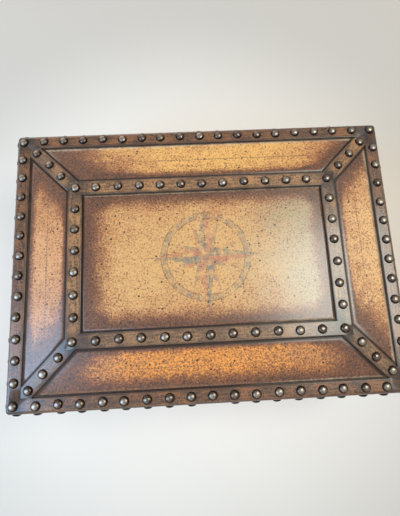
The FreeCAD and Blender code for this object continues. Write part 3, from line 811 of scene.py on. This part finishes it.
# %% Sloping panels and the central panel
# Each step of the roll goes in by the first length and up by the second.
ROLL_STEPS = (
    (0.9 * MM, 0.40 * MM),
    (1.1 * MM, 0.28 * MM),
    (1.4 * MM, 0.13 * MM),
    (1.6 * MM, 0.04 * MM),
)
ROLL_DROP = sum(rise for _, rise in ROLL_STEPS)
CHAMFER_DROP = 0.38 * MM
SLOPE_ROLL_SHARE = 1.0
CROWN_ROLL_SHARE = 0.4
FACING_UP = 0.5
NEARLY_LEVEL = 0.9


def faces_up(face):
    return face.normal.z > FACING_UP


def top_field(work):
    level = [face for face in work.faces if face.normal.z > NEARLY_LEVEL]
    return max(level, key=lambda face: face.calc_area())


def roll_edges(work, width_share):
    field = top_field(work)
    rim = set(field.verts)
    shoulder = {edge.other_vert(vert) for vert in rim for edge in vert.link_edges} - rim
    bmesh.ops.translate(work, verts=list(rim), vec=field.normal * -ROLL_DROP)
    bmesh.ops.translate(work, verts=list(shoulder), vec=field.normal * -CHAMFER_DROP)
    for width, rise in ROLL_STEPS:
        step = width * width_share
        bmesh.ops.inset_region(work, faces=[field], thickness=step, depth=rise, use_even_offset=True)


def painted_board(node, paint, stain, is_painted, roll_share=None):
    """A copy of a board: painted where the test says so, stained elsewhere, its field rolled if asked."""
    work = copy_of(node)
    if roll_share:
        roll_edges(work, roll_share)
    work.normal_update()
    for face in work.faces:
        face.material_index = 0 if is_painted(face) else 1
    return make_piece(work, f"{node}.painted", (paint, stain), (node,))


def stain_of(side):
    return stain_long if side in LONG_SIDES else stain_short


lid_boards = []
for side in SIDES:
    slope = f"lid_slope_{side}"
    lid_boards.append(painted_board(slope, slope_paint[side], stain_of(side), faces_up, SLOPE_ROLL_SHARE))
lid_boards.append(painted_board("lid_centre_panel", crown_paint, stain_long, faces_up, CROWN_ROLL_SHARE))
print("faces on each lid panel:", [len(board.data.polygons) for board in lid_boards])

# %% [markdown]
# ## Walls and rails
# The box's walls and the lid's rails are painted outside and stained inside and along their edges. A face is
# outside when it points away from the middle of the box and lies near the outer faces of the straps.

# %% Walls and rails
OUTER_SKIN = 4 * MM


def faces_out(face):
    middle = face.calc_center_median()
    near_x = half_length - abs(middle.x) < OUTER_SKIN and face.normal.x * middle.x > 0
    near_y = half_depth - abs(middle.y) < OUTER_SKIN and face.normal.y * middle.y > 0
    return (near_x or near_y) and not is_mitre(face)


walls = []
for side in SIDES:
    paint = long_wall_paint if side in LONG_SIDES else short_wall_paint
    for node in (f"wall_{side}", f"lid_rail_{side}"):
        walls.append(painted_board(node, paint, stain_of(side), faces_out))
print("walls and rails:", *[piece.name for piece in walls])

# %% [markdown]
# ## Straps
# A strap is cut from flat leather, so only its long edges are rounded. The layout for the leather finish is a
# UV map: the first number runs along the strap and the second across it, counting the fold over an edge as
# flat. Where a hip strap runs on from a frame's strap the edge stays plain, so the strap is cut across first.

# %% One strap
STRAP_EDGE = 0.9 * MM
LEAST_ROUNDED = 30 * MM
INSET_SLACK = 1 * MM
ALONG_RUN = 0.995


def lay_out(work, run, inward, centre):
    """Store how far each corner of a face is along the strap and across it from its centre line."""
    lay = work.loops.layers.uv.new("lay")
    half_run = work.verts.layers.float.new("half_run")
    reach = [vert.co.dot(run) for vert in work.verts]
    middle = (max(reach) + min(reach)) / 2
    fold_over = Vector((0, 0, 1)) if run.z == 0 else Vector()
    for vert in work.verts:
        vert[half_run] = (max(reach) - min(reach)) / 2
    for face in work.faces:
        for loop in face.loops:
            place = loop.vert.co
            loop[lay].uv = (place.dot(run) - middle, (place - centre).dot(inward + fold_over))


def cut_hip_ends(work, run, plain_half):
    """Cut a strap across where the sides of the hip straps meet it."""
    for sign in (-1, 1):
        everything = [*work.verts, *work.edges, *work.faces]
        cut = run * sign * plain_half
        bmesh.ops.bisect_plane(work, geom=everything, dist=SAME_PLACE, plane_co=cut, plane_no=run)


def meets_hip(edge, run, plain_half, inset):
    """True for an edge at the given inset that lies beyond the cuts, where a hip strap runs on from it."""
    middle = (edge.verts[0].co + edge.verts[1].co) / 2
    edge_inset = min(half_length - abs(middle.x), half_depth - abs(middle.y))
    return abs(middle.dot(run)) > plain_half and abs(edge_inset - inset) < INSET_SLACK


def runs_long(edge, run):
    """True for an edge along the strap that is long enough to round."""
    line = (edge.verts[1].co - edge.verts[0].co).normalized()
    return abs(line.dot(run)) > ALONG_RUN and edge.calc_length() > LEAST_ROUNDED


def strap(node, finish, run, inward, centre, hip_inset=None):
    """A copy of a strap with rounded long edges, except where a hip strap meets it at the given inset."""
    work = copy_of(node)
    plain_half = 0.0
    if hip_inset:
        half_side = half_length if run.x else half_depth
        plain_half = half_side - hip_inset - strap_width * DIAGONAL
        cut_hip_ends(work, run, plain_half)
    edges = [edge for edge in sharp_edges(work) if runs_long(edge, run)]
    if hip_inset:
        edges = [edge for edge in edges if not meets_hip(edge, run, plain_half, hip_inset)]
    soften(work, edges, STRAP_EDGE)
    lay_out(work, run, inward, centre)
    return make_piece(work, f"{node}.leather", (finish,), (node,))


print("strap edges are rounded over", *in_mm([STRAP_EDGE]), "mm")

# %% All the straps
UPRIGHT = Vector((0, 0, 1))
OUTWARD = {
    "front": Vector((0, -1, 0)),
    "right": Vector((1, 0, 0)),
    "back": Vector((0, 1, 0)),
    "left": Vector((-1, 0, 0)),
}
hip_rise = (crown_level - ledge_level) / (slope_head - strap_width)


def side_straps(side):
    """The four straps along one side, from the base up to the inner frame."""
    outward = OUTWARD[side]
    run = Vector((abs(outward.y), abs(outward.x), 0))
    reach = half_length if outward.x else half_depth
    made = []
    for kind in ("base_strap", "rim_strap"):
        low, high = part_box(f"{kind}_{side}")
        centre = outward * reach + UPRIGHT * ((low.z + high.z) / 2)
        made.append(strap(f"{kind}_{side}", outer_leather, run, -outward, centre))
    edge_strap = f"lid_edge_strap_{side}"
    edge_line = outward * (reach - strap_width / 2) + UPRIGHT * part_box(edge_strap)[1].z
    made.append(strap(edge_strap, outer_leather, run, -outward, edge_line, strap_width))
    inner_strap = f"inner_strap_{side}"
    inner_line = outward * (reach - slope_head - strap_width / 2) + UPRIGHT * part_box(inner_strap)[1].z
    made.append(strap(inner_strap, INNER_STRAP_LEATHER[side], run, -outward, inner_line, slope_head))
    return made


def corner_straps(corner):
    """The strap over one hip and the one round the upright corner below it."""
    x = 1 if "left" in corner else -1
    y = 1 if "front" in corner else -1
    arris = Vector((-x * half_length, -y * half_depth, 0))
    hip_run = Vector((x, y, hip_rise)).normalized()
    hip_across = Vector((-y, x, 0)).normalized()
    hip = strap(f"hip_strap_{corner}", HIP_STRAP_LEATHER[corner], hip_run, hip_across, arris)
    across = Vector((x, -y, 0))
    centre = arris + across * strap_width / 4
    return [hip, strap(f"corner_strap_{corner}", outer_leather, UPRIGHT, across, centre)]


straps = []
for side in SIDES:
    straps += side_straps(side)
for corner in CORNERS:
    straps += corner_straps(corner)
print("straps:", len(straps))

# %% [markdown]
# ## Domed nails
# The nails are pressed from sheet bronze: a low dome with a thin dark rim, partly old polish and partly
# painted shade, and a bright top, partly rubbed and partly a painted highlight. One dome is spun from a short
# profile, with few faces because hundreds are placed, and smooth shading rounds it.
# Hand-driven nails are never quite in line or quite upright, so each copy is moved and tipped a little, the
# same way on every run.

# %% The bronze finish
BRONZE = tint(102, 91, 84)
BRONZE_DARK = tint(38, 34, 35)
RUBBED_AND_HIGHLIT_BRONZE = tint(176, 165, 153)
PATINA_SIZE = 2.2 * MM
BRONZE_RELIEF = 0.1 * MM


def bronze(name):
    """Bronze dark round the rim, partly old polish and partly painted shade, and bright on top, partly rubbed
    and partly a painted highlight, each nail by its own tone.
    """
    finish = Finish(name, Metallic=1.0)
    rise = finish.attribute("rise")
    tone = finish.attribute("tone")
    patina = finish.cloud(PATINA_SIZE)
    # The dark rim is partly painted shade, and the bright top is partly a painted highlight.
    colour = finish.mix((rise + patina.sway(0.35)).ease(0.4, 0.95), BRONZE_DARK, BRONZE)
    colour = finish.mix((rise + tone.sway(0.2)).ease(0.74, 1.02) * 0.8, colour, RUBBED_AND_HIGHLIT_BRONZE)
    return finish.surface(colour, 0.22 + patina * 0.16 + tone * 0.08, patina, BRONZE_RELIEF)


nail_bronze = bronze("nail_bronze")
print("nail finish:", nail_bronze.name)

# %% One dome
# The dome's outline in millimetres, from its rim to its top: distance from the axis, and height.
NAIL_PROFILE = ((4.9, 0.0), (4.55, 1.0), (3.5, 2.05), (1.9, 2.62), (0.0, 2.8))
NAIL_SPOKES = 12


def dome_mesh():
    """One nail head round the Z axis, standing on Z = 0."""
    work = bmesh.new()
    rise = work.verts.layers.float.new("rise")
    work.verts.layers.float.new("tone")
    outline = [work.verts.new((radius * MM, 0, level * MM)) for radius, level in NAIL_PROFILE]
    top = NAIL_PROFILE[-1][1]
    for vert, (_, level) in zip(outline, NAIL_PROFILE):
        vert[rise] = level / top
    edges = [work.edges.new(pair) for pair in zip(outline, outline[1:])]
    bmesh.ops.spin(
        work, geom=outline + edges, cent=(0, 0, 0), axis=(0, 0, 1),
        angle=2 * math.pi, steps=NAIL_SPOKES, use_merge=True,
    )
    bmesh.ops.remove_doubles(work, verts=work.verts, dist=SAME_PLACE)
    bmesh.ops.recalc_face_normals(work, faces=work.faces)
    return mesh_of(work, "nail_dome")


dome = dome_mesh()
print("a nail head has", len(dome.polygons), "faces")

# %% [markdown]
# The frame's nails come as rows, each row one mesh of separate lumps. Each lump gives a seat: its foot on the
# strap and the way it looks, which is up on the frames, out on the sides and square to the strap on a hip.

# %% Rows of nails
NAIL_DRIFT = 0.6 * MM
NAIL_TIP = math.radians(4)
SORT_DIGITS = 5


def islands(work):
    """The separate lumps of a mesh, each as a list of its vertices, in the same order on every run."""
    found = set()
    for start in work.verts:
        if start in found:
            continue
        found.add(start)
        lump = [start]
        for vert in lump:
            for edge in vert.link_edges:
                other = edge.other_vert(vert)
                if other not in found:
                    found.add(other)
                    lump.append(other)
        yield lump


def facing_of(middle):
    """The direction that a nail head at this place looks."""
    if half_length < abs(middle.x):
        return Vector((math.copysign(1, middle.x), 0, 0))
    if half_depth < abs(middle.y):
        return Vector((0, math.copysign(1, middle.y), 0))
    inset = min(half_length - abs(middle.x), half_depth - abs(middle.y))
    if strap_width < inset < slope_head:
        lean = hip_rise / 2
        return Vector((math.copysign(lean, middle.x), math.copysign(lean, middle.y), 1)).normalized()
    return UPRIGHT


def seats_of(node):
    """Where each nail of a frame node stands and which way it looks, in a steady order."""
    source = copy_of(node)
    seats = []
    for lump in islands(source):
        middle = sum((vert.co for vert in lump), Vector()) / len(lump)
        facing = facing_of(middle)
        foot = min(vert.co.dot(facing) for vert in lump)
        seats.append((middle + facing * (foot - middle.dot(facing)), facing))
    source.free()
    return sorted(seats, key=lambda seat: tuple(round(number, SORT_DIGITS) for number in seat[0]))


def nail_row(node, dome, chance):
    """Smooth domes on the seats of one group of frame nails."""
    work = bmesh.new()
    for seat, facing in seats_of(node):
        count = len(work.verts)
        work.from_mesh(dome)
        work.verts.ensure_lookup_table()
        fresh = work.verts[count:]
        drift = Vector((chance.uniform(-1, 1), chance.uniform(-1, 1), 0)) * NAIL_DRIFT
        tip = Matrix.Rotation(chance.uniform(-1, 1) * NAIL_TIP, 4, "X")
        turn = Matrix.Rotation(chance.uniform(0, 2 * math.pi), 4, "Z")
        stand = facing.to_track_quat("Z", "Y").to_matrix().to_4x4()
        matrix = Matrix.Translation(seat) @ stand @ Matrix.Translation(drift) @ turn @ tip
        bmesh.ops.transform(work, matrix=matrix, verts=fresh)
        tone = work.verts.layers.float["tone"]
        shade = chance.random()
        for vert in fresh:
            vert[tone] = shade
    return make_piece(work, f"{node}.domed", (nail_bronze,), (node,))


chance = random.Random(7)
TOP_NAILS = ("lid_edge_nails", "inner_strap_nails", "hip_nails")
SIDE_NAILS = ("lid_side_nails", "rim_nails", "base_nails", "corner_nails")
nails = [nail_row(node, dome, chance) for node in TOP_NAILS + SIDE_NAILS]
print("nail rows have", sum(len(row.data.polygons) for row in nails), "faces in all")
bpy.data.meshes.remove(dome)

# %% [markdown]
# ## Hinges, feet and lining
# Hinges are stamped brass that has dulled unevenly, the feet are black rubber and the floor is lined with
# felt. The hinge metal, the feet and the bottom board keep the frame's own shapes. The felt is soft, so it
# becomes a thin sheet of its own, with a nap that makes its surface uneven.

# %% Brass and rubber
BRASS = tint(186, 150, 88)
BRASS_DULL = tint(104, 82, 52)
DULL_SIZE = 6 * MM
SCRATCH_SIZE = 0.5 * MM
SCRATCH_STRETCH = (0.08, 1.0, 1.0)
SCRATCH_RELIEF = 0.03 * MM
RUBBER = tint(30, 30, 31)
RUBBER_DUST = tint(70, 68, 66)
RUBBER_GRAIN = 0.8 * MM
RUBBER_RELIEF = 0.1 * MM


def brass(name):
    finish = Finish(name, Metallic=1.0)
    dull = finish.cloud(DULL_SIZE, detail=5.0)
    drawn_out = finish.stretch(finish.place, SCRATCH_STRETCH)
    scratches = finish.cloud(SCRATCH_SIZE, detail=2.0, vector=drawn_out)
    colour = finish.mix(dull.ease(0.35, 0.65), BRASS_DULL, BRASS)
    return finish.surface(colour, 0.28 + dull * 0.25, scratches, SCRATCH_RELIEF)


def rubber(name):
    finish = Finish(name, Specular_IOR_Level=0.4)
    grain = finish.cloud(RUBBER_GRAIN, detail=3.0)
    colour = finish.mix(grain.ease(0.5, 0.8) * 0.3, RUBBER, RUBBER_DUST)
    return finish.surface(colour, 0.7 + grain * 0.15, grain, RUBBER_RELIEF)


def dress_node(node, finish):
    materials = frame["nodes"][node].data.materials
    materials.clear()
    materials.append(finish)


hinge_brass = brass("hinge_brass")
metal_nodes = [node for node in frame["nodes"] if node.startswith("hinge_")]
for node in metal_nodes:
    dress_node(node, hinge_brass)
dress_node("rubber_feet", rubber("foot_rubber"))
dress_node("bottom_board", stain_long)
print("brass on", len(metal_nodes), "nodes")

# %% The felt lining
FELT = tint(96, 34, 30)
FELT_DARK = tint(58, 20, 20)
NAP_SIZE = 1.5 * MM
BRUSHED_SIZE = 40 * MM
NAP_RELIEF = 0.3 * MM
FELT_ROWS = 24
FELT_WAVE = 0.15 * MM
FELT_WAVE_SIZE = 30 * MM
FELT_EDGE = 0.5 * MM


def felt(name):
    finish = Finish(name, Sheen_Weight=0.5, Sheen_Roughness=0.5, Specular_IOR_Level=0.2)
    nap = finish.cloud(NAP_SIZE, detail=5.0, roughness=0.7)
    brushed = finish.cloud(BRUSHED_SIZE, detail=3.0)
    colour = finish.mix((nap + brushed.sway(0.8)).ease(0.25, 0.75), FELT_DARK, FELT)
    return finish.surface(colour, 0.85 + nap * 0.1, nap, NAP_RELIEF)


def felt_sheet():
    """Felt laid on the floor: a grid that lies not quite flat, with a soft cut edge all round."""
    low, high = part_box("floor_lining")
    size = high - low
    work = bmesh.new()
    bmesh.ops.create_grid(work, x_segments=FELT_ROWS, y_segments=FELT_ROWS, size=0.5)
    top_level = Matrix.Translation((0, 0, high.z - FELT_WAVE))
    bmesh.ops.transform(work, matrix=top_level @ Matrix.Diagonal((size.x, size.y, 1, 1)), verts=work.verts)
    skirt = bmesh.ops.extrude_face_region(work, geom=work.faces[:], use_keep_orig=True)
    bottom = [item for item in skirt["geom"] if isinstance(item, bmesh.types.BMVert)]
    bmesh.ops.translate(work, verts=bottom, vec=(0, 0, low.z - high.z + FELT_WAVE))
    bmesh.ops.recalc_face_normals(work, faces=work.faces)
    top_edges = [edge for edge in sharp_edges(work) if edge.verts[0].co.z > low.z + SAME_PLACE]
    soften(work, top_edges, FELT_EDGE, segments=2)
    for vert in work.verts:
        if vert.co.z > low.z + size.z / 2:
            vert.co.z += noise.noise(vert.co / FELT_WAVE_SIZE) * FELT_WAVE
    piece = make_piece(work, "felt_lining", (felt("lining_felt"),), ("floor_lining",))
    return piece


lining = felt_sheet()
print("felt in mm:", in_mm(lining.dimensions))

# %% [markdown]
# ## Floor, light and camera
# The box stands on a plain pale floor in a dim warm room. Soft light comes from a cool window at the left and
# a white one high at the right, which the lacquer mirrors as a bluish and a whitish veil, with a dim fill in
# front and a broad one behind. The camera looks down on the lid from nearly above, as a hand-held phone does.

# %% Floor
FLOOR_SIZE = 16.0
FLOOR_NEAR = tint(233, 229, 222)
FLOOR_FAR = tint(190, 187, 182)
# Distances from the box's middle, in metres, over which the floor's painted pool of light greys and its glow
# grows.
FLOOR_GREYS = (0.2, 0.5)
GLOW_GROWS = (0.5, 2.5)
NEAR_GLOW = 0.1
FAR_GLOW = 0.5
MOTTLE_SIZE = 0.6
MOTTLE_DRIFT = 0.05


def pale_floor():
    """A matt floor, palest round the box in a painted pool of light. Its glow, stronger far off, is seen but
    lights nothing.
    """
    finish = Finish("pale_floor", Specular_IOR_Level=0.2, Emission_Strength=1.0)
    x, y, _ = finish.axes(finish.place)
    away = (x * x + y * y).maths("SQRT")
    mottle = finish.cloud(MOTTLE_SIZE, detail=2.0)
    # The paler tint near the box is a painted pool of light.
    colour = finish.mix((away + mottle * MOTTLE_DRIFT).ease(*FLOOR_GREYS), FLOOR_NEAR, FLOOR_FAR)
    glow = away.ease(*GLOW_GROWS) * FAR_GLOW + NEAR_GLOW
    finish.onto("Emission Color", finish.seen() * glow)
    work = bmesh.new()
    bmesh.ops.create_grid(work, x_segments=1, y_segments=1, size=FLOOR_SIZE / 2)
    floor = in_scene("floor", mesh_of(work, "floor"))
    floor.data.materials.append(finish.surface(colour, 0.9))
    floor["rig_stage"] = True
    return floor


print("floor of", round(pale_floor().dimensions.x, 1), "m")

# %% World
ROOM_WARM = tint(255, 240, 222)
ROOM_STRENGTH = 0.5
WALL_PALE = tint(232, 230, 226)
# The pale walls begin at the first height and are full at the second, where 1 is straight up.
WALL_HEIGHTS = {"From Min": 0.35, "From Max": 0.1}


def room_light():
    """A dim warm room overhead whose walls, near the horizon, look pale to the camera and in reflections."""
    world = bpy.data.worlds.new("studio")
    bpy.context.scene.world = world
    world.use_nodes = True
    wiring = Wiring(world.node_tree)
    background = world.node_tree.nodes["Background"]
    background.inputs["Color"].default_value = ROOM_WARM
    background.inputs["Strength"].default_value = ROOM_STRENGTH
    overhead = Socket(wiring, background.outputs[0])
    walls = wiring.node("ShaderNodeBackground", {}, {"Color": WALL_PALE})
    direction = wiring.node("ShaderNodeTexCoord", output="Generated")
    _, _, height = wiring.axes(direction)
    low = wiring.node("ShaderNodeMapRange", {}, {"Value": height, **WALL_HEIGHTS})
    either = wiring.node("ShaderNodeMixShader", {}, {0: wiring.seen() * low, 1: overhead, 2: walls})
    wiring.feed(world.node_tree.nodes["World Output"].inputs["Surface"], either)
    return world


print("world:", room_light().name)

# %% Lamps
LID_MIDDLE = Vector((0, 0, ledge_level))
# For each lamp: the way to it from the lid, how far, its width and height in metres, its glow and its colour.
LAMPS = {
    "cool_window": ((-0.75, -0.28, 0.58), 1.3, (0.7, 1.15), 6.0, (0.42, 0.69, 1.0)),
    "white_window": ((0.47, 0.06, 0.88), 1.27, (0.5, 0.5), 8.5, (0.96, 1.0, 0.91)),
    "front_fill": ((-0.25, -0.82, 0.5), 1.6, (1.6, 0.6), 1.2, (1.0, 0.86, 0.70)),
    "back_fill": ((-0.45, 0.84, 0.27), 1.6, (2.2, 0.7), 1.7, (1.0, 0.94, 0.86)),
}


def softbox(name, toward, distance, size, glow, colour):
    """A soft light in the given direction from the lid. Its glow is how bright its face looks."""
    lamp = bpy.data.lights.new(name, "AREA")
    lamp.shape = "RECTANGLE"
    lamp.size, lamp.size_y = size
    lamp.energy = glow * math.pi * size[0] * size[1]
    lamp.color = colour
    stand = in_scene(name, lamp)
    stand.location = LID_MIDDLE + Vector(toward).normalized() * distance
    stand.rotation_euler = (-Vector(toward)).to_track_quat("-Z", "Y").to_euler()


for name, settings in LAMPS.items():
    softbox(name, *settings)
print("lamps:", *LAMPS)

# %% Camera
# The sensor's width spans the longer side of the picture, which is 400 by 516 pixels.
PICTURE_SIDE = 516
FOCAL_PIXELS = 370
SENSOR_WIDTH = 36.0
CAMERA_PLACE = Vector((-17.1, -74.8, 539.0)) * MM
CAMERA_TURN_DEGREES = (11.18, -1.11, -2.88)

camera_data = bpy.data.cameras.new("phone")
camera_data.sensor_width = SENSOR_WIDTH
camera_data.lens = FOCAL_PIXELS / PICTURE_SIDE * SENSOR_WIDTH
camera = in_scene("phone", camera_data)
camera.location = CAMERA_PLACE
camera.rotation_euler = [math.radians(angle) for angle in CAMERA_TURN_DEGREES]
bpy.context.scene.camera = camera
bpy.context.scene.view_settings.view_transform = "Standard"
print("camera in mm:", in_mm(camera.location), "lens", round(camera_data.lens, 2), "mm")

# %% [markdown]
# ## The dressed size
# The finish must not make the box bigger, so the frame's box and the dressed one are both printed.

# %% Sizes
visual_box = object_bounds()
print("dressed box in mm:", *[in_mm(corner) for corner in visual_box])
